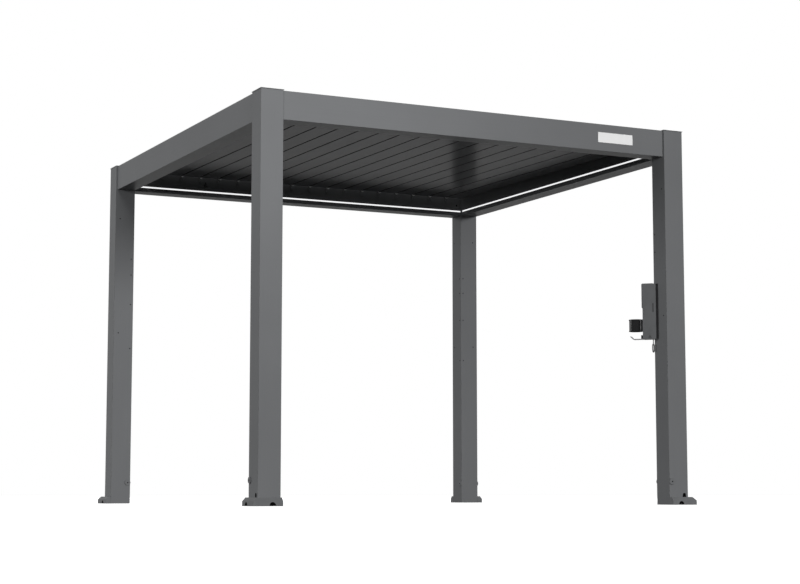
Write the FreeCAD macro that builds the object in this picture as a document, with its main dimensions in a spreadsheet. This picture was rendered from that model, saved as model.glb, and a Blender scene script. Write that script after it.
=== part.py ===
import FreeCAD, Part
import Sketcher
import math
import os
from FreeCAD import Placement, Rotation, Vector

# Louvered pergola: four hollow posts, four gutter beams and a roof of turning louvre blades.
# Millimetres. X runs along the front, +Y to the rear, +Z up. The origin is on the ground,
# at the middle of the footprint.

doc = FreeCAD.newDocument("LouveredPergola")
sheet = doc.addObject("Spreadsheet::Sheet", "Sizes")


class Size:
    """A length or an angle: the formula that the document keeps, and its value now."""

    def __init__(self, text, value):
        self.text = text
        self.value = float(value)

    def joined(self, other, sign, value):
        return Size("(%s %s %s)" % (self.text, sign, other.text), value)

    def __add__(self, other):
        other = as_size(other)
        return self.joined(other, "+", self.value + other.value)

    def __sub__(self, other):
        other = as_size(other)
        return self.joined(other, "-", self.value - other.value)

    def __mul__(self, other):
        other = as_size(other)
        return self.joined(other, "*", self.value * other.value)

    def __truediv__(self, other):
        other = as_size(other)
        return self.joined(other, "/", self.value / other.value)

    def __neg__(self):
        return Size("(0 - %s)" % self.text, -self.value)

    __radd__ = __add__

    def __rsub__(self, other):
        return as_size(other) - self

    __rmul__ = __mul__


def as_size(value):
    return value if isinstance(value, Size) else Size("%.9g" % value, value)


ZERO = as_size(0)


def size(name, value):
    """Write one driving dimension into the sheet and return it."""
    row = size.row
    size.row += 1
    sheet.set("A%d" % row, name)
    sheet.set("B%d" % row, "%.9g" % value)
    sheet.setAlias("B%d" % row, name)
    return Size("Sizes." + name, value)


size.row = 1

# Driving dimensions: plan and posts
plan_width = size("plan_width", 3000)
plan_depth = size("plan_depth", 3000)
post_side = size("post_side", 143.9)
post_wall = size("post_wall", 2)
post_radius = size("post_radius", 2.5)
outlet_width = size("outlet_width", 70)
outlet_height = size("outlet_height", 45)
arch_width = size("arch_width", 26)
arch_height = size("arch_height", 26)
arch_inset = size("arch_inset", 29)
flange_thick = size("flange_thick", 5)
anchor_radius = size("anchor_radius", 5.5)
anchor_spacing = size("anchor_spacing", 90)

# Beams, caps and light strips
beam_bottom = size("beam_bottom", 2284.2)
beam_height = size("beam_height", 173.7)
beam_thick = size("beam_thick", 125.6)
beam_recess = size("beam_recess", 10)
beam_wall = size("beam_wall", 2.2)
beam_lip = size("beam_lip", 12)
gutter_rim = size("gutter_rim", 155)
gutter_floor = size("gutter_floor", 62)
cap_thick = size("cap_thick", 4)
cap_over = size("cap_over", 3)
cap_joint = size("cap_joint", 1)
led_height = size("led_height", 13)
led_depth = size("led_depth", 6)
led_bevel = size("led_bevel", 2.5)
led_level = size("led_level", 27.4)
led_short = size("led_short", 27)

# Louvre blades, their bearings and their link
blade_pitch = size("blade_pitch", 147.9)
first_offset = size("first_offset", 71.2)
pivot_rise = size("pivot_rise", 135.4)
fall_drop = size("fall_drop", 25.7)
blade_left = size("blade_left", 16)
blade_gap = size("blade_gap", 12)
blade_under = size("blade_under", 3)
blade_skin = size("blade_skin", 1.3)
channel_rim = size("channel_rim", 14)
channel_right = size("channel_right", 9)
blade_top = size("blade_top", 27)
blade_crown = size("blade_crown", 3)
overlap_reach = size("overlap_reach", 17)
overlap_start = size("overlap_start", 4)
end_gap = size("end_gap", 45)
end_cap = size("end_cap", 3)
pin_radius = size("pin_radius", 4)
pin_clearance = size("pin_clearance", 0.3)
pin_gap = size("pin_gap", 3)
clip_width = size("clip_width", 14)
clip_depth = size("clip_depth", 14)
clip_top = size("clip_top", 8)
clip_drop = size("clip_drop", 33)
ledge_width = size("ledge_width", 32)
ledge_height = size("ledge_height", 20)
ledge_thick = size("ledge_thick", 2)
ledge_end = size("ledge_end", 1)
crank_right = size("crank_right", 50)
crank_up = size("crank_up", 19)
crank_radius = size("crank_radius", 4)
link_gap = size("link_gap", 14)
link_thick = size("link_thick", 6)
link_height = size("link_height", 14)
link_play = size("link_play", 0.3)

# Foot covers, plugs and plate
cover_reach = size("cover_reach", 40)
cover_height = size("cover_height", 50)
cover_chamfer = size("cover_chamfer", 20)
cover_wall = size("cover_wall", 2.5)
cover_gap = size("cover_gap", 0.3)
drain_width = size("drain_width", 40)
drain_height = size("drain_height", 21)
drain_foot = size("drain_foot", 3)
drain_inset = size("drain_inset", 79)
plate_width = size("plate_width", 264)
plate_height = size("plate_height", 66)
plate_thick = size("plate_thick", 2)
plate_from_end = size("plate_from_end", 385)
plug_radius = size("plug_radius", 21)
plug_depth = size("plug_depth", 6)
plug_bevel = size("plug_bevel", 2)
plug_level = size("plug_level", 150)
plug_inset = size("plug_inset", 20)

# Accessory box and what it carries
box_width = size("box_width", 75)
box_depth = size("box_depth", 86)
box_height = size("box_height", 366)
box_bottom = size("box_bottom", 1084)
box_notch = size("box_notch", 15)
box_radius = size("box_radius", 3)
handle_width = size("handle_width", 13)
handle_height = size("handle_height", 59)
handle_depth = size("handle_depth", 2)
handle_level = size("handle_level", 206.7)
panel_thick = size("panel_thick", 6)
panel_height = size("panel_height", 160)
panel_margin = size("panel_margin", 3)
cup_radius = size("cup_radius", 44)
cup_wall = size("cup_wall", 4)
cup_height = size("cup_height", 79)
cup_rise = size("cup_rise", 53)
cup_rim = size("cup_rim", 1.5)
cup_arm = size("cup_arm", 6.5)
shelf_thick = size("shelf_thick", 3)
shelf_width = size("shelf_width", 56)
shelf_reach = size("shelf_reach", 68)
shelf_lip = size("shelf_lip", 26)
shelf_block = size("shelf_block", 12)
eye_neck = size("eye_neck", 28)
eye_width = size("eye_width", 44)
eye_height = size("eye_height", 61)
eye_wire = size("eye_wire", 8)
eye_inset = size("eye_inset", 23)

doc.recompute()

half_width = plan_width / 2
half_depth = plan_depth / 2
half_post = post_side / 2
beam_top = beam_bottom + beam_height
inner_side = half_width - beam_recess - beam_thick
inner_end = half_depth - beam_recess - beam_thick
span = inner_end * 2
beam_run_x = plan_width - post_side * 2
beam_run_y = plan_depth - post_side * 2
first_pivot = first_offset - inner_side
pivot_level = beam_bottom + pivot_rise
blade_right = blade_pitch - blade_left - blade_gap
blade_count = 1 + int((inner_side * 2 - first_offset - blade_right).value / blade_pitch.value)
CORNERS = (("front_left", -1, -1, 180), ("front_right", 1, -1, 270),
           ("rear_left", -1, 1, 90), ("rear_right", 1, 1, 0))

parts = []


def keep(item, label):
    """Give a finished sub-part its name and put it on the list that is exported."""
    item.Label = label
    parts.append(item)
    return item


def bind(item, path, value):
    """Set one property of an object and tie it to the sheet."""
    value = as_size(value)
    item.setExpression(path, value.text)


def place(item, x, y, z, angle=None, axis=None):
    """Place an object by sheet values: its base, and a turn about an axis if there is one."""
    turn = Rotation() if axis is None else Rotation(axis, as_size(angle).value)
    item.Placement = Placement(Vector(as_size(x).value, as_size(y).value, as_size(z).value), turn)
    bind(item, "Placement.Base.x", x)
    bind(item, "Placement.Base.y", y)
    bind(item, "Placement.Base.z", z)
    if isinstance(angle, Size):
        bind(item, "Placement.Rotation.Angle", angle)


def new_body(name):
    return doc.addObject("PartDesign::Body", name)


def plane_of(body, role):
    for feature in body.Origin.OriginFeatures:
        if feature.Role == role:
            return feature
    raise ValueError(role)


def new_sketch(body, name, role, offset=None):
    """A sketch on one of the body's own planes, moved along its normal by offset."""
    sketch = body.newObject("Sketcher::SketchObject", name)
    sketch.AttachmentSupport = [(plane_of(body, role), "")]
    sketch.MapMode = "FlatFace"
    if offset is not None:
        offset = as_size(offset)
        sketch.AttachmentOffset = Placement(Vector(0, 0, offset.value), Rotation())
        bind(sketch, "AttachmentOffset.Base.z", offset)
    return sketch


def hold(sketch, kind, geometry, point, value):
    """Hold one point of a sketch at one sheet value from the origin, along DistanceX or DistanceY."""
    if value.text == "0":
        axis = -2 if kind == "DistanceX" else -1
        sketch.addConstraint(Sketcher.Constraint("PointOnObject", geometry, point, axis))
        return
    if value.value < 0:
        rule = Sketcher.Constraint(kind, geometry, point, -1, 1, -value.value)
        value = -value
    else:
        rule = Sketcher.Constraint(kind, -1, 1, geometry, point, value.value)
    index = sketch.addConstraint(rule)
    sketch.setExpression("Constraints[%d]" % index, value.text)


def hold_point(sketch, geometry, point, across, up):
    hold(sketch, "DistanceX", geometry, point, across)
    hold(sketch, "DistanceY", geometry, point, up)


def add_outline(sketch, corners, crowns=None):
    """A closed outline whose corners are held at sheet values from the sketch's origin.

    crowns names the level sides that are arcs: the index of the corner where the side starts,
    and how far the arc rises above the side's ends.
    """
    corners = [(as_size(across), as_size(up)) for across, up in corners]
    crowns = crowns or {}
    first = sketch.GeometryCount
    count = len(corners)
    ends = []
    for index in range(count):
        start, end = corners[index], corners[(index + 1) % count]
        from_point = Vector(start[0].value, start[1].value, 0)
        to_point = Vector(end[0].value, end[1].value, 0)
        if index not in crowns:
            sketch.addGeometry(Part.LineSegment(from_point, to_point), False)
            ends.append((1, 2))
            continue
        rise = as_size(crowns[index])
        chord = end[0] - start[0]
        radius = (chord * chord / 4 + rise * rise) / (rise * 2)
        depth = start[1] + rise - radius
        centre = Vector((from_point.x + to_point.x) / 2, depth.value, 0)
        forward = (chord.value < 0) == (rise.value > 0)
        head, tail = (from_point, to_point) if forward else (to_point, from_point)
        low = math.atan2(head.y - centre.y, head.x - centre.x)
        high = math.atan2(tail.y - centre.y, tail.x - centre.x)
        circle = Part.Circle(centre, Vector(0, 0, 1), abs(radius.value))
        arc = sketch.addGeometry(Part.ArcOfCircle(circle, low, high), False)
        hold(sketch, "DistanceY", arc, 3, depth)
        ends.append((1, 2) if forward else (2, 1))
    for index in range(count):
        after = (index + 1) % count
        sketch.addConstraint(Sketcher.Constraint("Coincident", first + index, ends[index][1],
                                                 first + after, ends[after][0]))
    for index, (across, up) in enumerate(corners):
        hold_point(sketch, first + index, ends[index][0], across, up)


def add_circle(sketch, across, up, radius):
    """A circle held at sheet values."""
    across, up, radius = as_size(across), as_size(up), as_size(radius)
    circle = Part.Circle(Vector(across.value, up.value, 0), Vector(0, 0, 1), radius.value)
    index = sketch.addGeometry(circle, False)
    hold_point(sketch, index, 3, across, up)
    rule = sketch.addConstraint(Sketcher.Constraint("Radius", index, radius.value))
    sketch.setExpression("Constraints[%d]" % rule, radius.text)


def box_outline(left, right, bottom, top):
    return [(left, bottom), (right, bottom), (right, top), (left, top)]


def add_arch(sketch, middle, foot, width, height):
    """An opening with upright sides and a round top."""
    half = width / 2
    spring = foot + height - half
    add_outline(sketch, [(middle - half, foot), (middle + half, foot),
                         (middle + half, spring), (middle - half, spring)], {2: half})


def pad(body, sketch, length, both=False, name="Pad"):
    """Pad a sketch by a sheet value along its normal."""
    feature = body.newObject("PartDesign::Pad", name)
    feature.Profile = sketch
    feature.Midplane = both
    bind(feature, "Length", length)
    body.Tip = feature
    return feature


def pocket(body, sketch, length, reverse=False, both=False, name="Pocket"):
    """Cut a sketch by a sheet value, and make sure that it took something away."""
    doc.recompute()
    before = body.Shape.Volume
    feature = body.newObject("PartDesign::Pocket", name)
    feature.Profile = sketch
    feature.Midplane = both
    feature.Reversed = reverse
    bind(feature, "Length", length)
    body.Tip = feature
    doc.recompute()
    if body.Shape.Volume >= before:
        raise RuntimeError("%s cuts nothing" % name)
    return feature


def edges_where(shape, wanted):
    """Names of the edges whose bounding box the test accepts."""
    return ["Edge%d" % (index + 1) for index, edge in enumerate(shape.Edges) if wanted(edge.BoundBox)]


def dress(body, base, kind, name, edges, value):
    """Round or bevel some edges of a feature by a sheet value."""
    feature = body.newObject("PartDesign::" + kind, name)
    feature.Base = (base, edges)
    bind(feature, "Radius" if kind == "Fillet" else "Size", value)
    body.Tip = feature
    return feature


# Posts: rounded square tubes that carry the rain water down, each with an anchor flange.
# Drawn for the rear right corner, about the post's axis, and turned to the other corners.
def make_post(label, side_x, side_y, turn):
    body = new_body("Post")
    outer, core = half_post, half_post - post_wall
    section = new_sketch(body, "PostSection", "XY_Plane")
    add_outline(section, box_outline(-outer, outer, -outer, outer))
    add_outline(section, box_outline(-core, core, -core, core))
    tube = pad(body, section, beam_top, name="PostTube")
    doc.recompute()
    limit = outer.value - 0.01
    corners = edges_where(tube.Shape, lambda box: box.ZLength > beam_top.value - 1
                          and abs(box.XMin) > limit and abs(box.YMin) > limit)
    dress(body, tube, "Fillet", "PostEdges", corners, post_radius)
    flange = new_sketch(body, "FlangeOutline", "XY_Plane")
    reach = outer + cover_reach - cover_wall * 2
    end = cover_wall * 2 - outer
    add_outline(flange, [(end, core), (core, core), (core, end), (reach, end), (reach, reach), (end, reach)])
    line = outer + cover_reach / 2
    near, far = anchor_spacing / -2, anchor_spacing / 2
    for across, up in ((near, line), (far, line), (line, near), (line, far)):
        add_circle(flange, across, up, anchor_radius)
    pad(body, flange, flange_thick, name="AnchorFlange")
    arch = new_sketch(body, "ArchOutline", "YZ_Plane", outer)
    add_arch(arch, outer - arch_inset, cover_height, arch_width, arch_height)
    pocket(body, arch, post_wall, name="DrainArch")
    middle = outer - beam_recess - beam_thick / 2
    floor = beam_bottom + gutter_floor + beam_wall
    for name, role, sign in (("SideOutlet", "YZ_Plane", 1), ("EndOutlet", "XZ_Plane", -1)):
        outlet = new_sketch(body, name + "Outline", role, -core * sign)
        add_outline(outlet, box_outline(middle - outlet_width / 2, middle + outlet_width / 2,
                                        floor, floor + outlet_height))
        pocket(body, outlet, post_wall, reverse=sign < 0, name=name)
    place(body, (half_width - half_post) * side_x, (half_depth - half_post) * side_y, ZERO,
          turn, Vector(0, 0, 1))
    return keep(body, label)


for corner, side_x, side_y, turn in CORNERS:
    make_post(corner + "_post", side_x, side_y, turn)


# Caps: a thin plate over each post, on a slightly smaller step
def make_cap(side_x, side_y):
    body = new_body("Cap")
    step = new_sketch(body, "CapStep", "XY_Plane")
    inner = half_post - cap_joint * 2
    add_outline(step, box_outline(-inner, inner, -inner, inner))
    pad(body, step, cap_joint, name="CapNeck")
    plate = new_sketch(body, "CapPlate", "XY_Plane", cap_joint)
    outer = half_post + cap_over
    add_outline(plate, box_outline(-outer, outer, -outer, outer))
    lid = pad(body, plate, cap_thick, name="CapTop")
    doc.recompute()
    rim = (cap_joint + cap_thick).value - 0.01
    edges = edges_where(lid.Shape, lambda box: box.ZMin > rim)
    dress(body, lid, "Chamfer", "CapBevel", edges, cap_thick / 4)
    place(body, (half_width - half_post) * side_x, (half_depth - half_post) * side_y, beam_top)
    return body


caps = doc.addObject("Part::Compound", "Caps")
caps.Links = [make_cap(side_x, side_y) for corner, side_x, side_y, turn in CORNERS]
keep(caps, "post_caps")


# Foot covers: a shell round the two outer faces of each post, with a bevelled top edge
# and a half-round drain opening in each outer wall
def make_cover(label, side_x, side_y, turn):
    body = new_body("Cover")
    plan = new_sketch(body, "CoverPlan", "XY_Plane")
    inside = half_post + cover_gap
    outer = half_post + cover_reach
    end = -half_post
    add_outline(plan, [(end, inside), (inside, inside), (inside, end),
                       (outer, end), (outer, outer), (end, outer)])
    block = pad(body, plan, cover_height, name="CoverBlock")
    doc.recompute()
    top, rim = cover_height.value - 0.01, outer.value - 0.01
    edges = edges_where(block.Shape, lambda box: box.ZMin > top and (box.XMin > rim or box.YMin > rim))
    bevel = dress(body, block, "Chamfer", "CoverBevel", edges, cover_chamfer)
    doc.recompute()
    open_faces = []
    for index, face in enumerate(bevel.Shape.Faces):
        box = face.BoundBox
        below = box.ZMax < 0.01
        against_x = box.XLength < 0.01 and abs(box.XMin - inside.value) < 0.01
        against_y = box.YLength < 0.01 and abs(box.YMin - inside.value) < 0.01
        if below or against_x or against_y:
            open_faces.append("Face%d" % (index + 1))
    shell = body.newObject("PartDesign::Thickness", "CoverShell")
    shell.Base = (bevel, open_faces)
    shell.Reversed = True
    bind(shell, "Value", cover_wall)
    body.Tip = shell
    drain = half_post - drain_inset
    half = drain_width / 2
    for name, role, sign in (("DrainX", "YZ_Plane", 1), ("DrainY", "XZ_Plane", -1)):
        outline = new_sketch(body, name + "Outline", role, outer * sign)
        add_outline(outline, [(drain - half, drain_foot), (drain + half, drain_foot),
                              (drain + half, drain_foot + 1), (drain - half, drain_foot + 1)],
                    {2: drain_height - 1})
        pocket(body, outline, cover_wall, reverse=sign < 0, name=name)
    place(body, (half_width - half_post) * side_x, (half_depth - half_post) * side_y, ZERO,
          turn, Vector(0, 0, 1))
    return keep(body, label)


for corner, side_x, side_y, turn in CORNERS:
    make_cover(corner + "_foot_cover", side_x, side_y, turn)


# Beams: open gutter sections, drawn from the outer face at 0 to the inner face
def make_beam(label, run, turn, x, y):
    body = new_body("Beam")
    section = new_sketch(body, "BeamSection", "XZ_Plane")
    add_outline(section, [
        (ZERO, ZERO), (beam_thick, ZERO), (beam_thick, gutter_rim),
        (beam_thick - beam_wall, gutter_rim), (beam_thick - beam_wall, gutter_floor + beam_wall),
        (beam_wall, gutter_floor + beam_wall), (beam_wall, beam_height - beam_wall),
        (beam_lip + beam_wall, beam_height - beam_wall), (beam_lip + beam_wall, beam_height),
        (ZERO, beam_height)])
    add_outline(section, box_outline(beam_wall, beam_thick - beam_wall, beam_wall, gutter_floor))
    pad(body, section, run, both=True, name="BeamExtrusion")
    place(body, x, y, beam_bottom, turn, Vector(0, 0, 1))
    return keep(body, label)


outer_x = half_width - beam_recess
outer_y = half_depth - beam_recess
make_beam("left_beam", beam_run_y, 0, -outer_x, ZERO)
make_beam("front_beam", beam_run_x, 90, ZERO, -outer_y)
make_beam("right_beam", beam_run_y, 180, outer_x, ZERO)
make_beam("rear_beam", beam_run_x, 270, ZERO, outer_y)


# Light strips: a bar with bevelled front edges on the inner face of each beam
def make_strip(name, run, turn, x, y):
    body = new_body(name)
    section = new_sketch(body, "StripSection", "XZ_Plane")
    add_outline(section, [(ZERO, ZERO), (led_depth - led_bevel, ZERO), (led_depth, led_bevel),
                          (led_depth, led_height - led_bevel), (led_depth - led_bevel, led_height),
                          (ZERO, led_height)])
    pad(body, section, run, both=True, name="StripExtrusion")
    place(body, x, y, beam_bottom + led_level, turn, Vector(0, 0, 1))
    return body


side_run = beam_run_y - led_short * 2
light = doc.addObject("Part::Compound", "Strips")
light.Links = [
    make_strip("StripLeft", side_run, 0, -inner_side, ZERO),
    make_strip("StripFront", beam_run_x, 90, ZERO, -inner_end),
    make_strip("StripRight", side_run, 180, inner_side, ZERO),
    make_strip("StripRear", beam_run_x, 270, ZERO, inner_end),
]
keep(light, "light_strips")


# Louvre blades, drawn about the pivot axis, which falls a little to the front
fall_angle = Size("atan(%s / %s)" % (fall_drop.text, span.text),
                  math.degrees(math.atan(fall_drop.value / span.value)))


def make_blade(index):
    body = new_body("Blade%02d" % index)
    low = -blade_under
    crest = blade_top - blade_under
    outer = new_sketch(body, "BladeSection", "XZ_Plane", end_gap)
    chamber = channel_right
    add_outline(outer, [
        (-blade_left, low), (blade_right, low), (blade_right, crest - blade_skin),
        (blade_right + overlap_reach, crest - blade_skin), (blade_right + overlap_reach, crest),
        (blade_right - overlap_start, crest), (chamber, crest), (chamber, low + blade_skin),
        (blade_skin - blade_left, low + blade_skin), (blade_skin - blade_left, channel_rim - blade_under),
        (-blade_left, channel_rim - blade_under)], {5: blade_crown})
    inside_left = chamber + blade_skin
    inside_right = blade_right - blade_skin
    add_outline(outer, box_outline(inside_left, inside_right, low + blade_skin, crest - blade_skin))
    pad(body, outer, span - end_gap * 2, name="BladeExtrusion")
    for name, offset in (("RearCap", end_gap), ("FrontCap", span - end_gap - end_cap)):
        cap = new_sketch(body, name + "Section", "XZ_Plane", offset)
        add_outline(cap, [
            (-blade_left, low), (blade_right, low), (blade_right, crest - blade_skin / 2),
            (chamber, crest - blade_skin / 2), (chamber, channel_rim - blade_under),
            (-blade_left, channel_rim - blade_under)])
        pad(body, cap, end_cap, name=name)
    pin_length = end_gap - pin_gap + end_cap
    for name, offset in (("RearPin", pin_gap), ("FrontPin", span - end_gap - end_cap)):
        pin = new_sketch(body, name + "Section", "XZ_Plane", offset)
        add_circle(pin, ZERO, ZERO, pin_radius)
        pad(body, pin, pin_length, name=name)
    crank = new_sketch(body, "CrankSection", "XZ_Plane", span - end_gap - end_cap)
    add_circle(crank, crank_right, crank_up, crank_radius)
    pad(body, crank, end_cap + link_gap + link_thick + pin_gap, name="CrankPin")
    place(body, first_pivot + blade_pitch * index, inner_end, pivot_level, fall_angle, Vector(1, 0, 0))
    return keep(body, "louvre_%02d" % (index + 1))


for number in range(blade_count):
    make_blade(number)


# Closing ledge: an angle that fills the strip between the left beam and the first blade
def make_ledge():
    body = new_body("Ledge")
    start = post_side + ledge_end - beam_recess - beam_thick
    section = new_sketch(body, "LedgeSection", "XZ_Plane", start)
    low = -blade_under
    add_outline(section, [
        (ZERO, low), (ledge_width, low), (ledge_width, low + ledge_thick * 2),
        (ledge_width - ledge_thick, low + ledge_thick * 2), (ledge_width - ledge_thick, low + ledge_thick),
        (ledge_thick, low + ledge_thick), (ledge_thick, low + ledge_height), (ZERO, low + ledge_height)])
    pad(body, section, span - start * 2, name="LedgeExtrusion")
    place(body, -inner_side, inner_end, pivot_level, fall_angle, Vector(1, 0, 0))
    return keep(body, "left_closing_ledge")


make_ledge()


# Pivot clips: one holder a pin, against the beam's inner face
def make_clips(label, front):
    solids = []
    bore = pin_radius.value + pin_clearance.value
    slope = fall_drop.value / span.value
    depth, width = clip_depth.value, clip_width.value
    for index in range(blade_count):
        across = first_pivot.value + blade_pitch.value * index
        level = pivot_level.value - (fall_drop.value if front else 0)
        block = Part.makeBox(width, depth, clip_top.value + clip_drop.value,
                             Vector(across - width / 2, 0, level - clip_drop.value))
        block.translate(Vector(0, -inner_end.value if front else inner_end.value - depth, 0))
        hole = Part.makeCylinder(bore, depth * 4, Vector(0, 0, 0), Vector(0, 1, slope))
        mouth = -inner_end.value if front else inner_end.value
        start = mouth - depth * 2
        hole.translate(Vector(across, start, level + (start - mouth) * slope))
        solids.append(block.cut(hole))
    clips = doc.addObject("Part::Feature", "Clips")
    clips.Shape = Part.makeCompound(solids)
    return keep(clips, label)


make_clips("rear_pivot_clips", False)
make_clips("front_pivot_clips", True)


# Link bar: joins the crank pins near the front ends of the blades
def make_link():
    body = new_body("Link")
    margin = link_height / 2 + crank_radius
    run = blade_pitch * (blade_count - 1)
    front_face = span - end_gap + link_gap
    bar = new_sketch(body, "LinkSection", "XZ_Plane", front_face)
    add_outline(bar, box_outline(-margin, run + margin, crank_up - link_height / 2, crank_up + link_height / 2))
    pad(body, bar, link_thick, name="LinkBar")
    holes = new_sketch(body, "LinkHole", "XZ_Plane", front_face)
    add_circle(holes, ZERO, crank_up, crank_radius + link_play)
    cut = pocket(body, holes, link_thick, reverse=True, name="LinkBore")
    row = body.newObject("PartDesign::LinearPattern", "LinkBores")
    row.Originals = [cut]
    row.Direction = (plane_of(body, "X_Axis"), [""])
    bind(row, "Length", run)
    row.Occurrences = blade_count
    body.Tip = row
    place(body, first_pivot + crank_right, inner_end, pivot_level, fall_angle, Vector(1, 0, 0))
    return keep(body, "link_bar")


make_link()


# Name plate, left bare
plate = doc.addObject("Part::Box", "Plate")
bind(plate, "Length", plate_width)
bind(plate, "Width", plate_thick)
bind(plate, "Height", plate_height)
place(plate, half_width - plate_from_end - plate_width, -outer_y - plate_thick,
      beam_bottom + beam_height / 2 - plate_height / 2)
keep(plate, "blank_plate")


# Accessory box on the inner corner of the front right post, turned towards the middle.
# Its local +X axis runs from the post's inner corner towards the middle of the plan.
corner_x = half_width - post_side
corner_y = post_side - half_depth
box_front = box_depth - box_notch


def seat_corner(body, level):
    place(body, corner_x, corner_y, level, 135, Vector(0, 0, 1))


def make_housing():
    body = new_body("Housing")
    plan = new_sketch(body, "HousingPlan", "XY_Plane")
    half = box_width / 2
    gap = cover_gap * 1.5
    add_outline(plan, [(gap, ZERO), (gap - half, -half), (box_front, -half), (box_front, half), (gap - half, half)])
    block = pad(body, plan, box_height, name="HousingBlock")
    doc.recompute()
    edges = edges_where(block.Shape, lambda box: box.XMin > box_front.value - 0.01 and box.ZLength > 1)
    dress(body, block, "Fillet", "HousingEdges", edges, box_radius)
    grip = new_sketch(body, "GripOutline", "XZ_Plane", -half)
    upper = handle_level + handle_height / 2 - handle_width / 2
    lower = handle_level - handle_height / 2
    add_outline(grip, [(handle_width / -2, lower), (handle_width / 2, lower),
                       (handle_width / 2, upper), (handle_width / -2, upper)],
                {2: handle_width / 2})
    pocket(body, grip, handle_depth, reverse=True, name="GripRecess")
    seat_corner(body, box_bottom)
    return keep(body, "accessory_box")


make_housing()


def make_panel():
    body = new_body("Panel")
    sketch = new_sketch(body, "PanelPlan", "XY_Plane")
    half = box_width / 2 - panel_margin
    add_outline(sketch, box_outline(box_front, box_front + panel_thick, -half, half))
    block = pad(body, sketch, panel_height, name="PanelBlock")
    doc.recompute()
    front = (box_front + panel_thick).value - 0.01
    edges = edges_where(block.Shape, lambda box: box.XMin > front)
    dress(body, block, "Fillet", "PanelEdges", edges, panel_thick / 2)
    seat_corner(body, box_bottom + box_height - panel_height)
    return keep(body, "accessory_box_panel")


make_panel()


def make_cup():
    body = new_body("Cup")
    inner = cup_radius - cup_wall
    rim = cup_radius + cup_rim
    section = new_sketch(body, "CupSection", "XZ_Plane")
    add_outline(section, [
        (inner, ZERO), (rim, ZERO), (rim, cup_rim * 2), (cup_radius, cup_rim * 2),
        (cup_radius, cup_height - cup_rim * 2), (rim, cup_height - cup_rim * 2), (rim, cup_height),
        (inner, cup_height)])
    ring = body.newObject("PartDesign::Revolution", "CupRing")
    ring.Profile = section
    ring.ReferenceAxis = (plane_of(body, "Z_Axis"), [""])
    ring.Angle = 360
    body.Tip = ring
    doc.recompute()
    away = rim + cup_arm
    lug = new_sketch(body, "CupLug", "XY_Plane")
    add_outline(lug, box_outline(-away, inner * -0.8, cup_radius / -2, cup_radius / 2))
    cut = new_sketch(body, "CupBore", "XY_Plane")
    add_circle(cut, ZERO, ZERO, inner)
    pad(body, lug, cup_height, name="CupMount")
    pocket(body, cut, cup_height, reverse=True, name="CupOpening")
    reach = (box_front + away) / math.sqrt(2)
    place(body, corner_x - reach, corner_y + reach, box_bottom + cup_rise, 135, Vector(0, 0, 1))
    return keep(body, "cup_ring")


make_cup()


def make_shelf():
    body = new_body("Shelf")
    side = new_sketch(body, "ShelfSection", "XZ_Plane")
    turn_x = box_front + shelf_reach
    lip = shelf_lip / math.sqrt(2)
    add_outline(side, [(box_front, ZERO), (turn_x, ZERO), (turn_x + lip, lip),
                       (turn_x + lip - shelf_thick, lip + shelf_thick),
                       (turn_x - shelf_thick / 2, shelf_thick), (box_front + shelf_block, shelf_thick),
                       (box_front + shelf_block, shelf_lip), (box_front, shelf_lip)])
    pad(body, side, shelf_width, both=True, name="ShelfStrip")
    seat_corner(body, box_bottom)
    return keep(body, "cup_shelf")


make_shelf()


# Hanging eye: a long ring with bevelled edges, under a round neck
def make_eye():
    body = new_body("Eye")
    outer = eye_width / 2
    inner = outer - eye_wire
    low = outer - eye_neck - eye_height
    high = -eye_neck - outer
    loop = new_sketch(body, "EyeOutline", "YZ_Plane")
    for half in (outer, inner):
        add_outline(loop, [(-half, low), (half, low), (half, high), (-half, high)], {0: -half, 2: half})
    ring = pad(body, loop, eye_wire, both=True, name="EyeRing")
    doc.recompute()
    face = eye_wire.value / 2 - 0.01
    edges = edges_where(ring.Shape, lambda box: abs(box.XMin) > face and box.XLength < 0.1)
    dress(body, ring, "Chamfer", "EyeBevel", edges, eye_wire * 0.28)
    neck = new_sketch(body, "EyeNeckSection", "XY_Plane", -eye_neck - eye_wire / 2)
    add_circle(neck, ZERO, ZERO, eye_wire * 0.45)
    pad(body, neck, eye_neck + eye_wire / 2, name="EyeNeck")
    inset = (eye_inset - box_notch) / math.sqrt(2)
    place(body, corner_x - inset, corner_y + inset, box_bottom, 135, Vector(0, 0, 1))
    return keep(body, "hanging_eye")


make_eye()


# Round plugs near the foot of each post, a pair on two opposite faces
def make_plug(side_x, side_y, turn, face):
    body = new_body("Plug")
    section = new_sketch(body, "PlugSection", "XZ_Plane")
    add_outline(section, [(ZERO, ZERO), (plug_radius, ZERO), (plug_radius, plug_depth - plug_bevel),
                          (plug_radius - plug_bevel, plug_depth), (ZERO, plug_depth)])
    disc = body.newObject("PartDesign::Revolution", "PlugTurning")
    disc.Profile = section
    disc.ReferenceAxis = (plane_of(body, "Z_Axis"), [""])
    disc.Angle = 360
    body.Tip = disc
    spin = Rotation(Vector(0, 0, 1), turn)
    stand = Rotation(Vector(0, 1, 0), 90 * face)
    out = spin.multVec(Vector(face, 0, 0))
    along = spin.multVec(Vector(0, 1, 0))
    place(body, (half_width - half_post) * side_x + half_post * round(out.x) + (plug_inset - half_post) * round(along.x),
          (half_depth - half_post) * side_y + half_post * round(out.y) + (plug_inset - half_post) * round(along.y),
          plug_level)
    body.Placement = Placement(body.Placement.Base, spin * stand)
    return body


plugs = doc.addObject("Part::Compound", "Plugs")
plugs.Links = [make_plug(side_x, side_y, turn, face)
               for corner, side_x, side_y, turn in CORNERS for face in (1, -1)]
keep(plugs, "post_plugs")

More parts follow.
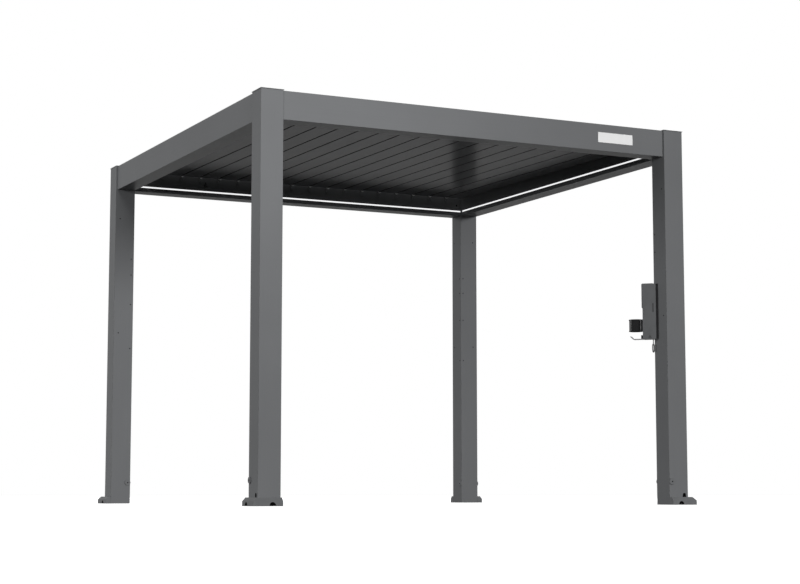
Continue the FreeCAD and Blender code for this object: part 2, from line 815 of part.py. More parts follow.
doc.recompute()
failed = [item.Name for item in doc.Objects if "Invalid" in item.State or "Error" in item.State]
if failed:
    raise RuntimeError("failed objects: %s" % failed)
for item in parts:
    if item.Shape.isNull() or not item.Shape.isValid():
        raise RuntimeError("bad shape: %s" % item.Label)
os.makedirs("parts", exist_ok=True)
for item in parts:
    item.Shape.exportStep(os.path.join("parts", item.Label + ".step"))
    print(item.Label, round(item.Shape.Volume / 1e6, 3), len(item.Shape.Solids), item.Shape.BoundBox)
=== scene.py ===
"""Dresses a louvered pergola: powder coat, roof hardware, post plugs and the accessory box's fittings."""

import logging
import math
from dataclasses import dataclass, field
from enum import Enum
from typing import Callable, Dict, Iterable, List, Optional, Sequence, Tuple, Union

import bpy
from mathutils import Euler, Matrix, Vector

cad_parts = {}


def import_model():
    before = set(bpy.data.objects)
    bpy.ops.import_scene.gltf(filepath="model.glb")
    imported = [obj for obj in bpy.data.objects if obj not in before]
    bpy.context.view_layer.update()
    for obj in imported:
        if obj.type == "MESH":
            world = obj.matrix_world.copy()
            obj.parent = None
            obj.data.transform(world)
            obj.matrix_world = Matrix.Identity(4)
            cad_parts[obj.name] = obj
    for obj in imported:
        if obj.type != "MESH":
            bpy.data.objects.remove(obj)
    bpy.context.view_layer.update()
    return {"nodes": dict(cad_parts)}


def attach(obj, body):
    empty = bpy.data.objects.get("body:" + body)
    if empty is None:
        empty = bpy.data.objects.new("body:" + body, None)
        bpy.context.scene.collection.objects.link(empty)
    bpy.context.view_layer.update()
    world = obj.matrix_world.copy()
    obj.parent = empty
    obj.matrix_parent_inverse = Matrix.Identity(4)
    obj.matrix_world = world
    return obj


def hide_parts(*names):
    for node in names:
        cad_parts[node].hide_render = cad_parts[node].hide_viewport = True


LOG = logging.getLogger("pergola")
Point = Tuple[float, float, float]
Pair = Tuple[float, float]
Steps = Tuple[Pair, ...]
Number = Union[float, int]
FaceTest = Callable[[bpy.types.MeshPolygon], bool]

ORIGIN = Vector((0, 0, 0))
RIGHT = Vector((1, 0, 0))
REAR = Vector((0, 1, 0))
UP = Vector((0, 0, 1))
# The cosine over which a face counts as looking along a direction
ALIGNED = 0.9
# The distance under which two places count as one, in metres
CLOSE = 1e-5
WHITE = (1.0, 1.0, 1.0, 1.0)


class Run(Enum):
    """The direction in which an extruded profile runs."""

    ALONG_X = (1.0, 0.0, 0.0)
    ALONG_Y = (0.0, 1.0, 0.0)
    ALONG_Z = (0.0, 0.0, 1.0)


class Corner(Enum):
    """The four posts, by the signs of their place in the plan."""

    FRONT_LEFT = (-1, -1)
    FRONT_RIGHT = (1, -1)
    REAR_LEFT = (-1, 1)
    REAR_RIGHT = (1, 1)

    @property
    def label(self) -> str:
        """The corner's name, as the pieces' names write it."""
        return self.name.lower()


class Pick(Enum):
    """What edit mode selects: edges or faces."""

    EDGES = (False, True, False)
    FACES = (False, False, True)


# Shader maths


class Wire:
    """A shader socket that takes part in Python expressions."""

    def __init__(self, maker: "Shader", socket: bpy.types.NodeSocket) -> None:
        """Keeps the socket and the shader that it belongs to."""
        self.maker = maker
        self.socket = socket

    def _math(self, operation: str, *values: Union["Wire", Number]) -> "Wire":
        """Adds one Math node.

        Args:
            operation: the Math node's operation.
            values: its inputs in order.

        Returns:
            The node's result.
        """
        return self.maker.node("ShaderNodeMath", {"operation": operation}, dict(enumerate(values)))

    def __add__(self, other: Union["Wire", Number]) -> "Wire":
        """self + other."""
        return self._math("ADD", self, other)

    __radd__ = __add__

    def __sub__(self, other: Union["Wire", Number]) -> "Wire":
        """self - other."""
        return self._math("SUBTRACT", self, other)

    def __rsub__(self, other: Union["Wire", Number]) -> "Wire":
        """other - self."""
        return self._math("SUBTRACT", other, self)

    def __mul__(self, other: Union["Wire", Number]) -> "Wire":
        """self * other."""
        return self._math("MULTIPLY", self, other)

    __rmul__ = __mul__

    def above(self, limit: Number) -> "Wire":
        """1 where the value is over the limit, else 0."""
        return self._math("GREATER_THAN", self, limit)

    def most(self, other: Union["Wire", Number]) -> "Wire":
        """The larger of the two."""
        return self._math("MAXIMUM", self, other)

    def ease(self, low: Number, high: Number) -> "Wire":
        """Runs smoothly from 0 at low to 1 at high.

        Args:
            low: where the result is 0.
            high: where the result is 1.

        Returns:
            The eased value.
        """
        return self.maker.node("ShaderNodeMapRange", {"interpolation_type": "SMOOTHSTEP"},
                               {"Value": self, "From Min": low, "From Max": high})


class Shader:
    """The node tree of a material or world and the few ways in which nodes are added to it."""

    def __init__(self, owner: Union[bpy.types.Material, bpy.types.World]) -> None:
        """Gives a material or world an empty node tree.

        Args:
            owner: the material or world.
        """
        owner.use_nodes = True
        self.owner = owner
        self.tree = owner.node_tree
        self.tree.nodes.clear()

    def raw(self, kind: str, settings: Optional[dict] = None,
            inputs: Optional[dict] = None) -> bpy.types.Node:
        """Adds a node, sets it up and joins its inputs.

        Args:
            kind: the node's type.
            settings: its properties.
            inputs: values or wires by socket name or number.

        Returns:
            The node itself.
        """
        node = self.tree.nodes.new(kind)
        for key, value in (settings or {}).items():
            setattr(node, key, value)
        for key, value in (inputs or {}).items():
            socket = node.inputs[key]
            if isinstance(value, Wire):
                self.tree.links.new(value.socket, socket)
            else:
                socket.default_value = value
        return node

    def node(self, kind: str, settings: Optional[dict] = None, inputs: Optional[dict] = None,
             output: Union[int, str] = 0) -> Wire:
        """Adds a node and gives one of its outputs as a wire.

        Args:
            kind: the node's type.
            settings: its properties.
            inputs: values or wires by socket name or number.
            output: which output is wanted.

        Returns:
            That output.
        """
        return Wire(self, self.raw(kind, settings, inputs).outputs[output])

    def place(self) -> Wire:
        """The point's own place on the object, in metres."""
        return self.node("ShaderNodeTexCoord", output="Object")

    def drawn(self, run: Run, along: float, across: float) -> Wire:
        """The point's place, scaled so that noise on it becomes lines.

        Args:
            run: the direction of the lines.
            along: features a metre along them.
            across: features a metre across them.

        Returns:
            The scaled place.
        """
        scale = tuple(along if part else across for part in run.value)
        return self.node("ShaderNodeMapping", {}, {"Vector": self.place(), "Scale": scale})

    def noise(self, vector: Wire, scale: float, detail: float = 2.0) -> Wire:
        """Smooth noise from 0 to 1.

        Args:
            vector: where it is read.
            scale: features a metre.
            detail: how many finer layers it has.

        Returns:
            The noise value.
        """
        return self.node("ShaderNodeTexNoise", {}, {"Vector": vector, "Scale": scale, "Detail": detail})

    def tint(self, low: Union[Point, Wire], high: Union[Point, Wire], factor: Wire) -> Wire:
        """A colour that runs from low to high with the factor.

        Args:
            low: the colour, or a wire that carries it, at 0.
            high: the same at 1.
            factor: from 0 to 1.

        Returns:
            The mixed colour.
        """
        first, last = (end if isinstance(end, Wire) else (*end, 1.0) for end in (low, high))
        return self.node("ShaderNodeMix", {"data_type": "RGBA"}, {"Factor": factor, "A": first, "B": last},
                         output="Result")

    def shaded(self, colour: Point, shades: Pair, factor: Wire) -> Wire:
        """The colour between its darkest and its lightest shade, with the factor."""
        return self.tint(shade(colour, shades[0]), shade(colour, shades[1]), factor)

    def bump(self, strength: float, distance: float, height: Wire) -> Wire:
        """The surface's normal, tilted by a height."""
        return self.node("ShaderNodeBump", {}, {"Strength": strength, "Distance": distance, "Height": height})

    def finish(self, **sockets: Union[Wire, Number, Sequence[float]]) -> bpy.types.Material:
        """Ends the tree with a Principled surface.

        Args:
            sockets: its inputs, with an underscore for each space.

        Returns:
            The finished material.
        """
        named = {key.replace("_", " "): value for key, value in sockets.items()}
        surface = self.node("ShaderNodeBsdfPrincipled", {}, named)
        self.raw("ShaderNodeOutputMaterial", {}, {"Surface": surface})
        return self.owner


def shade(colour: Point, factor: float) -> Point:
    """The colour made lighter or darker by a factor."""
    return tuple(min(1.0, part * factor) for part in colour)


def blend(waves: Sequence[Wire], shares: Sequence[float]) -> Wire:
    """Adds values by their shares.

    Args:
        waves: the values.
        shares: how much of each is taken.

    Returns:
        Their sum.
    """
    total = waves[0] * shares[0]
    for wave, share in zip(waves[1:], shares[1:]):
        total = total + wave * share
    return total


def vary(level: float, waves: Sequence[Wire], ranges: Sequence[float]) -> Wire:
    """Lets a value vary round its level.

    Args:
        level: the middle value.
        waves: noises from 0 to 1.
        ranges: how far each noise moves the value.

    Returns:
        The varied value.
    """
    return blend(waves, ranges) + (level - sum(ranges) / 2)


# Finishes


@dataclass(frozen=True)
class PowderCoat:
    """Baked powder paint on an extruded aluminium profile."""

    name: str
    colour: Point
    run: Run
    roughness: float = 0.36
    ior: float = 1.14
    peel: float = 0.00006
    peel_strength: float = 0.5
    peel_scale: float = 420.0
    cloud_scale: float = 1.7
    speckle_scale: float = 1400.0
    die_lines: Pair = (2.0, 260.0)
    shades: Pair = (0.94, 1.06)
    tone_shares: Point = (0.5, 0.35, 0.15)
    tone_span: Pair = (0.3, 0.7)
    height_shares: Pair = (0.75, 0.25)
    rough_ranges: Pair = (0.06, 0.05)

    def make(self) -> bpy.types.Material:
        """Paint with orange peel, a fine speckle and faint die lines along the profile.

        Returns:
            The material.
        """
        paint = Shader(bpy.data.materials.new(self.name))
        place = paint.place()
        cloud = paint.noise(place, self.cloud_scale, detail=3.0)
        speckle = paint.noise(place, self.speckle_scale, detail=1.0)
        lines = paint.noise(paint.drawn(self.run, *self.die_lines), 1.0)
        tone = blend((cloud, speckle, lines), self.tone_shares).ease(*self.tone_span)
        height = blend((paint.noise(place, self.peel_scale), lines), self.height_shares)
        return paint.finish(Base_Color=paint.shaded(self.colour, self.shades, tone),
                            Roughness=vary(self.roughness, (cloud, speckle), self.rough_ranges),
                            Normal=paint.bump(self.peel_strength, self.peel, height), IOR=self.ior)


@dataclass(frozen=True)
class MouldedPlastic:
    """Injection-moulded plastic with a spark-eroded grain."""

    name: str
    colour: Point
    roughness: float = 0.55
    grain: float = 900.0
    depth: float = 0.00008
    grain_strength: float = 0.45
    gloss: float = 0.35
    flow_scale: float = 14.0
    shades: Pair = (0.9, 1.1)
    tone_shares: Pair = (1.0, 0.3)
    tone_span: Pair = (0.3, 0.9)
    rough_range: float = 0.1

    def make(self) -> bpy.types.Material:
        """Plastic with a fine leather grain and slight flow marks.

        Returns:
            The material.
        """
        plastic = Shader(bpy.data.materials.new(self.name))
        place = plastic.place()
        cells = plastic.node("ShaderNodeTexVoronoi", {"feature": "SMOOTH_F1"},
                             {"Vector": place, "Scale": self.grain})
        flow = plastic.noise(place, self.flow_scale, detail=4.0)
        tone = blend((flow, cells), self.tone_shares).ease(*self.tone_span)
        return plastic.finish(Base_Color=plastic.shaded(self.colour, self.shades, tone),
                              Roughness=vary(self.roughness, (flow,), (self.rough_range,)),
                              Normal=plastic.bump(self.grain_strength, self.depth, cells),
                              Specular_IOR_Level=self.gloss)


@dataclass(frozen=True)
class BareMetal:
    """Metal with the marks of its last working."""

    name: str
    colour: Point
    roughness: float
    run: Run
    metallic: float = 1.0
    streaks: Pair = (6.0, 900.0)
    streak_depth: float = 0.00002
    streak_strength: float = 0.3
    smudge_scale: float = 30.0
    shades: Pair = (0.9, 1.05)
    tone_shares: Pair = (0.7, 0.3)
    rough_ranges: Pair = (0.12, 0.08)

    def make(self) -> bpy.types.Material:
        """Metal with fine streaks along its run and faint smudges.

        Returns:
            The material.
        """
        metal = Shader(bpy.data.materials.new(self.name))
        streak = metal.noise(metal.drawn(self.run, *self.streaks), 1.0, detail=3.0)
        smudge = metal.noise(metal.place(), self.smudge_scale, detail=3.0)
        marks = (streak, smudge)
        return metal.finish(Base_Color=metal.shaded(self.colour, self.shades, blend(marks, self.tone_shares)),
                            Roughness=vary(self.roughness, marks, self.rough_ranges),
                            Normal=metal.bump(self.streak_strength, self.streak_depth, streak),
                            Metallic=self.metallic)


@dataclass(frozen=True)
class FrostedLens:
    """The frosted cover of a light strip, lit from within."""

    name: str
    rim: Point
    face: Point = (0.6, 0.6, 0.6)
    foot: float = 2.3132
    top: float = 2.3240
    glow: float = 0.95
    unlit: Point = (0.0, 0.0, 0.0)
    cool_light: Point = (0.97, 0.98, 1.0)
    white_light: Point = (1.0, 1.0, 1.0)
    diode_scale: float = 40.0
    frost_scale: float = 2500.0
    frost_depth: float = 0.00005
    frost_strength: float = 0.2
    roughness: float = 0.5

    def make(self) -> bpy.types.Material:
        """White plastic that glows between the levels of its face, in a dark rim.

        Returns:
            The material.
        """
        lens = Shader(bpy.data.materials.new(self.name))
        place = lens.place()
        diodes = lens.noise(place, self.diode_scale, detail=1.0)
        frost = lens.noise(place, self.frost_scale, detail=1.0)
        level = lens.node("ShaderNodeSeparateXYZ", {}, {"Vector": place}, output="Z")
        lit = level.above(self.foot) * (1 - level.above(self.top))
        light = lens.tint(self.unlit, lens.tint(self.cool_light, self.white_light, diodes), lit)
        return lens.finish(Base_Color=lens.tint(self.rim, self.face, lit), Roughness=self.roughness,
                           Normal=lens.bump(self.frost_strength, self.frost_depth, frost),
                           Emission_Color=light, Emission_Strength=self.glow)


# Modelling by hand


def facing(direction: Vector) -> FaceTest:
    """Tells the faces that look along a direction."""
    return lambda face: face.normal.dot(direction) > ALIGNED


def capping(axis: Vector) -> FaceTest:
    """Tells the faces that look along an axis, either way."""
    return lambda face: abs(face.normal.dot(axis)) > ALIGNED


class Bench:
    """Blender's modelling tools, used on one piece at a time."""

    @staticmethod
    def clear() -> None:
        """Leaves edit mode and deselects everything."""
        if bpy.context.object and bpy.context.object.mode != "OBJECT":
            bpy.ops.object.mode_set(mode="OBJECT")
        bpy.ops.object.select_all(action="DESELECT")

    @staticmethod
    def hold(piece: bpy.types.Object) -> None:
        """Makes a piece the only selected one and the active one.

        Args:
            piece: the piece.
        """
        Bench.clear()
        piece.select_set(True)
        bpy.context.view_layer.objects.active = piece

    @staticmethod
    def turned(direction: Vector) -> Euler:
        """The turn that takes +Z to a direction."""
        return direction.to_track_quat("Z", "Y").to_euler()

    @staticmethod
    def seated(point: Vector, direction: Vector) -> Matrix:
        """The place of a pattern at a point, with its +Z along a direction."""
        return Matrix.Translation(point) @ Bench.turned(direction).to_matrix().to_4x4()

    def cylinder(self, name: str, radius: float, depth: float, middle: Vector, direction: Vector,
                 sides: int = 24) -> bpy.types.Object:
        """Starts a piece from a cylinder.

        Args:
            name: the piece's name.
            radius: its radius.
            depth: its length.
            middle: its centre.
            direction: its axis.
            sides: how many faces go round it.

        Returns:
            The new object.
        """
        self.clear()
        bpy.ops.mesh.primitive_cylinder_add(vertices=sides, radius=radius, depth=depth, location=middle,
                                            rotation=self.turned(direction))
        return self.named(name)

    def block(self, name: str, size: Vector, middle: Vector) -> bpy.types.Object:
        """Starts a piece from a block.

        Args:
            name: the piece's name.
            size: its size along X, Y and Z.
            middle: its centre.

        Returns:
            The new object.
        """
        self.clear()
        bpy.ops.mesh.primitive_cube_add(size=1.0, location=middle, scale=size)
        return self.named(name)

    def ring(self, name: str, radius: float, wire: float, middle: Vector, direction: Vector,
             round_sides: int = 48, wire_sides: int = 12) -> bpy.types.Object:
        """Starts a piece from a ring of round wire.

        Args:
            name: the piece's name.
            radius: from the middle to the wire's centre.
            wire: the wire's radius.
            middle: its centre.
            direction: its axis.
            round_sides: faces round the ring.
            wire_sides: faces round the wire.

        Returns:
            The new object.
        """
        self.clear()
        bpy.ops.mesh.primitive_torus_add(location=middle, rotation=self.turned(direction),
                                         major_radius=radius, minor_radius=wire,
                                         major_segments=round_sides, minor_segments=wire_sides)
        return self.named(name)

    @staticmethod
    def named(name: str) -> bpy.types.Object:
        """Names the new piece and applies its place and turn.

        Args:
            name: the piece's name.

        Returns:
            The piece.
        """
        piece = bpy.context.object
        piece.name = name
        piece.data.name = name
        bpy.ops.object.transform_apply(location=True, rotation=True, scale=True)
        return piece

    @staticmethod
    def reach_in(piece: bpy.types.Object, pick: Pick) -> None:
        """Deselects the piece's whole mesh and sets what edit mode selects.

        Args:
            piece: the piece.
            pick: edges or faces.
        """
        Bench.hold(piece)
        bpy.ops.object.mode_set(mode="EDIT")
        bpy.context.tool_settings.mesh_select_mode = pick.value
        bpy.ops.mesh.select_all(action="DESELECT")
        bpy.ops.object.mode_set(mode="OBJECT")

    @staticmethod
    def pick_faces(piece: bpy.types.Object, wanted: FaceTest) -> None:
        """Enters edit mode with only the wanted faces selected.

        Args:
            piece: the piece.
            wanted: tells the faces.
        """
        Bench.reach_in(piece, Pick.FACES)
        for face in piece.data.polygons:
            face.select = wanted(face)
        bpy.ops.object.mode_set(mode="EDIT")

    @staticmethod
    def pick_edges(piece: bpy.types.Object, wanted: Callable[[Vector, Vector], bool]) -> None:
        """Enters edit mode with only the wanted edges selected.

        Args:
            piece: the piece.
            wanted: tells the edges by their two ends.
        """
        Bench.reach_in(piece, Pick.EDGES)
        points = piece.data.vertices
        for edge in piece.data.edges:
            first, last = edge.vertices
            edge.select = wanted(points[first].co, points[last].co)
        bpy.ops.object.mode_set(mode="EDIT")

    @staticmethod
    def inset(piece: bpy.types.Object, wanted: FaceTest, steps: Steps) -> None:
        """Insets faces step by step and leaves the innermost ones selected.

        Args:
            piece: the piece.
            wanted: tells the faces.
            steps: each step's width and its rise, which is negative where it sinks.
        """
        Bench.pick_faces(piece, wanted)
        for width, rise in steps:
            bpy.ops.mesh.inset(thickness=width, depth=rise)

    @staticmethod
    def extrude(shift: Vector) -> None:
        """Extrudes the selected faces by a shift."""
        bpy.ops.mesh.extrude_region_move(TRANSFORM_OT_translate={"value": shift})

    @staticmethod
    def soften(piece: bpy.types.Object, width: float, segments: int = 2, limit: float = 30.0) -> None:
        """Rounds the piece's sharp edges with an applied bevel.

        Args:
            piece: the piece.
            width: how wide the bevel is.
            segments: its steps.
            limit: over how many degrees an edge is sharp.
        """
        Bench.hold(piece)
        bevel = piece.modifiers.new("soft edges", "BEVEL")
        bevel.width = width
        bevel.segments = segments
        bevel.limit_method = "ANGLE"
        bevel.angle_limit = math.radians(limit)
        bpy.ops.object.modifier_apply(modifier=bevel.name)

    @staticmethod
    def smooth(piece: bpy.types.Object, angle: float = 40.0) -> bpy.types.Object:
        """Shades the piece smooth, except across sharp edges.

        Args:
            piece: the piece.
            angle: over how many degrees an edge is sharp.

        Returns:
            The piece.
        """
        Bench.hold(piece)
        bpy.ops.object.shade_smooth_by_angle(angle=math.radians(angle))
        Bench.clear()
        return piece

    @staticmethod
    def copy(piece: bpy.types.Object, name: str, place: Matrix) -> bpy.types.Object:
        """A copy with its own mesh, moved in its mesh.

        Args:
            piece: what is copied.
            name: the copy's name.
            place: where it goes.

        Returns:
            The copy.
        """
        twin = piece.copy()
        twin.data = piece.data.copy()
        twin.name = name
        twin.data.name = name
        twin.data.transform(place)
        bpy.context.scene.collection.objects.link(twin)
        return twin

    @staticmethod
    def join(pieces: Sequence[bpy.types.Object], name: str) -> bpy.types.Object:
        """Joins like pieces into one object.

        Args:
            pieces: two or more pieces.
            name: the whole's name.

        Returns:
            The whole.
        """
        Bench.hold(pieces[0])
        for piece in pieces[1:]:
            piece.select_set(True)
        bpy.ops.object.join()
        whole = bpy.context.view_layer.objects.active
        whole.name = name
        whole.data.name = name
        Bench.clear()
        return whole

    @staticmethod
    def repeat(pattern: bpy.types.Object, places: Iterable[Matrix], name: str) -> bpy.types.Object:
        """Copies a pattern to each place and joins the copies."""
        return Bench.join([Bench.copy(pattern, "copy", place) for place in places], name)

    @staticmethod
    def remove(piece: bpy.types.Object) -> None:
        """Takes a pattern piece away once it has been copied."""
        bpy.data.objects.remove(piece)


def dress(piece: bpy.types.Object, material: bpy.types.Material) -> None:
    """Gives the whole piece one material.

    Args:
        piece: the piece.
        material: its finish.
    """
    piece.data.materials.clear()
    piece.data.materials.append(material)
    for face in piece.data.polygons:
        face.material_index = 0


def fit(piece: bpy.types.Object, material: bpy.types.Material, body: str) -> None:
    """Dresses a new piece, attaches it and says what it rides on.

    Args:
        piece: the piece.
        material: its finish.
        body: the body that carries it.
    """
    dress(piece, material)
    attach(piece, body)
    LOG.info("%s rides on %s", piece.name, body)


# The object's finishes and its sub-assemblies


@dataclass
class Palette:
    """Every finish that the pergola has, made once."""

    anthracite: Point = (0.168, 0.172, 0.177)
    made: Dict[str, bpy.types.Material] = field(default_factory=dict)

    def make(self) -> None:
        """Makes the materials."""
        for run in Run:
            coat = PowderCoat("frame coat " + run.name.lower().replace("_", " "), self.anthracite, run)
            self.made["coat " + run.name] = coat.make()
        finishes = [
            ("louvre", PowderCoat("louvre coat", shade(self.anthracite, 0.8), Run.ALONG_Y, roughness=0.22,
                                  ior=1.08, peel=0.00001)),
            ("cap", MouldedPlastic("cap plastic", shade(self.anthracite, 0.92))),
            ("cover", MouldedPlastic("cover plastic", shade(self.anthracite, 0.9), roughness=0.5)),
            ("box", MouldedPlastic("box plastic", shade(self.anthracite, 1.2), grain=1100.0)),
            ("panel", MouldedPlastic("panel plastic", shade(self.anthracite, 0.7), roughness=0.4,
                                     grain=1500.0)),
            ("black", MouldedPlastic("black plastic", (0.012, 0.012, 0.013), roughness=0.45)),
            # Near black: the own colour of the hole plugs and screw heads, and painted shade where the same
            # black fills the drain openings, the blade joints and the gap beside the box.
            ("hole", MouldedPlastic("hole plug", (0.002, 0.002, 0.002), roughness=0.7, depth=0.00003,
                                    gloss=0.05)),
            ("lens", FrostedLens("light diffuser", shade(self.anthracite, 0.5))),
            ("plate", BareMetal("plate metal", (0.95, 0.95, 0.95), 0.5, Run.ALONG_X, metallic=0.0)),
            ("shelf", BareMetal("shelf metal", (0.45, 0.45, 0.46), 0.4, Run.ALONG_X, metallic=0.5)),
            ("steel", BareMetal("polished steel", (0.5, 0.5, 0.5), 0.3, Run.ALONG_Z, metallic=0.6)),
            ("pin", BareMetal("pin metal", (0.85, 0.85, 0.84), 0.3, Run.ALONG_Y)),
            ("mill", BareMetal("mill aluminium", (0.6, 0.6, 0.6), 0.4, Run.ALONG_X)),
            ("rim", BareMetal("cup wire", (0.42, 0.42, 0.42), 0.35, Run.ALONG_Z, metallic=0.3)),
            ("clip", MouldedPlastic("clip plastic", shade(self.anthracite, 0.8), roughness=0.5)),
            ("lid", MouldedPlastic("lid plastic", shade(self.anthracite, 1.5), grain=1100.0)),
        ]
        for name, finish in finishes:
            self.made[name] = finish.make()
        LOG.info("palette: %d finishes", len(self.made))

    def __getitem__(self, name: str) -> bpy.types.Material:
        """The finish of that name."""
        return self.made[name]


@dataclass
class CadDress:
    """The finishes of the construction's own pieces."""

    palette: Palette
    nodes: Dict[str, bpy.types.Object]

    def coat_of(self, node: str) -> str:
        """Which finish a piece takes.

        Args:
            node: the piece's name.

        Returns:
            The finish's name in the palette.
        """
        if node.startswith("louvre_"):
            return "louvre"
        if node.endswith("_post"):
            return "coat ALONG_Z"
        if node in ("front_beam", "rear_beam"):
            return "coat ALONG_X"
        if node in ("left_beam", "right_beam", "left_closing_ledge"):
            return "coat ALONG_Y"
        if node.endswith("_foot_cover"):
            return "cover"
        named = {"post_caps": "cap", "post_plugs": "cap", "light_strips": "lens", "rear_pivot_clips": "clip",
                 "front_pivot_clips": "clip", "link_bar": "mill", "blank_plate": "plate",
                 "accessory_box": "box", "accessory_box_panel": "panel", "cup_ring": "black",
                 "cup_shelf": "shelf", "hanging_eye": "steel"}
        return named[node]

    def apply(self) -> None:
        """Gives each node its finish."""
        for node, piece in self.nodes.items():
            finish = self.coat_of(node)
            dress(piece, self.palette[finish])
            LOG.info("%s takes %s", node, finish)


@dataclass
class PostTrim:
    """Small plugs in the posts' screw holes and the screws of the round plugs."""

    palette: Palette
    bench: Bench
    outer: float = 1.5
    side: float = 0.1439
    hole: float = 0.0042
    hole_depth: float = 0.0012
    hole_steps: Steps = ((0.000924, 0.0003), (0.00084, -0.0005))
    near_levels: Tuple[float, ...] = (1.777, 1.66, 1.443, 1.121)
    far_levels: Tuple[float, ...] = (2.072, 1.232)
    near_inset: float = 0.020
    far_inset: float = 0.035
    plug_level: float = 0.150
    plug_inset: float = 0.020
    plug_proud: float = 0.0055
    screw: float = 0.0042
    screw_depth: float = 0.002
    screw_proud: float = 0.0006
    screw_steps: Steps = ((0.0007, 0.0004), (0.0013, 0.0))
    screw_socket: float = 0.0012

    def middle(self, corner: Corner, level: float) -> Vector:
        """The middle of a post at a level."""
        reach = self.outer - self.side / 2
        return Vector((corner.value[0] * reach, corner.value[1] * reach, level))

    def hole_pattern(self) -> bpy.types.Object:
        """One hole plug at the origin, facing +Z: a low dome with a sunk middle.

        Returns:
            The pattern piece.
        """
        plug = self.bench.cylinder("hole_plug_pattern", self.hole, self.hole_depth, ORIGIN, UP, sides=16)
        self.bench.inset(plug, facing(UP), self.hole_steps)
        return self.bench.smooth(plug, angle=50.0)

    def hole_places(self, corner: Corner) -> List[Matrix]:
        """Where a post's hole plugs go, on its two faces that look into the pergola.

        Args:
            corner: which post.

        Returns:
            A place for each plug.
        """
        sx, sy = corner.value
        towards_x = Vector((-sx, 0, 0))
        towards_y = Vector((0, -sy, 0))
        spots = [(self.side / 2 - self.near_inset, level) for level in self.near_levels]
        spots += [(self.far_inset - self.side / 2, level) for level in self.far_levels]
        places = []
        for normal, inward in ((towards_y, towards_x), (towards_x, towards_y)):
            for along, level in spots:
                point = self.middle(corner, level) + normal * self.side / 2 + inward * along
                places.append(Bench.seated(point, normal))
        return places

    def screw_pattern(self) -> bpy.types.Object:
        """One socket screw at the origin, facing +Z.

        Returns:
            The pattern piece.
        """
        head = self.bench.cylinder("plug_screw_pattern", self.screw, self.screw_depth, UP * self.screw_proud,
                                   UP, sides=18)
        self.bench.inset(head, facing(UP), self.screw_steps)
        self.bench.extrude(UP * -self.screw_socket)
        return self.bench.smooth(head)

    def screw_places(self) -> List[Matrix]:
        """Where the round plugs' screws go, a pair on opposite faces of each post.

        Returns:
            A place for each screw.
        """
        pairs = {
            Corner.FRONT_LEFT: (RIGHT, REAR),
            Corner.FRONT_RIGHT: (REAR, -RIGHT),
            Corner.REAR_RIGHT: (RIGHT, -REAR),
            Corner.REAR_LEFT: (REAR, RIGHT),
        }
        places = []
        for corner, (face, edge) in pairs.items():
            middle = self.middle(corner, self.plug_level) + edge * (self.side / 2 - self.plug_inset)
            for sign in (1, -1):
                normal = face * sign
                places.append(Bench.seated(middle + normal * (self.side / 2 + self.plug_proud), normal))
        return places

    def build(self) -> None:
        """Makes, places and dresses the post trim."""
        pattern = self.hole_pattern()
        for corner in Corner:
            plugs = self.bench.repeat(pattern, self.hole_places(corner), corner.label + "_hole_plugs")
            fit(plugs, self.palette["hole"], "frame")
        self.bench.remove(pattern)
        pattern = self.screw_pattern()
        screws = self.bench.repeat(pattern, self.screw_places(), "round_plug_screws")
        fit(screws, self.palette["hole"], "frame")
        self.bench.remove(pattern)


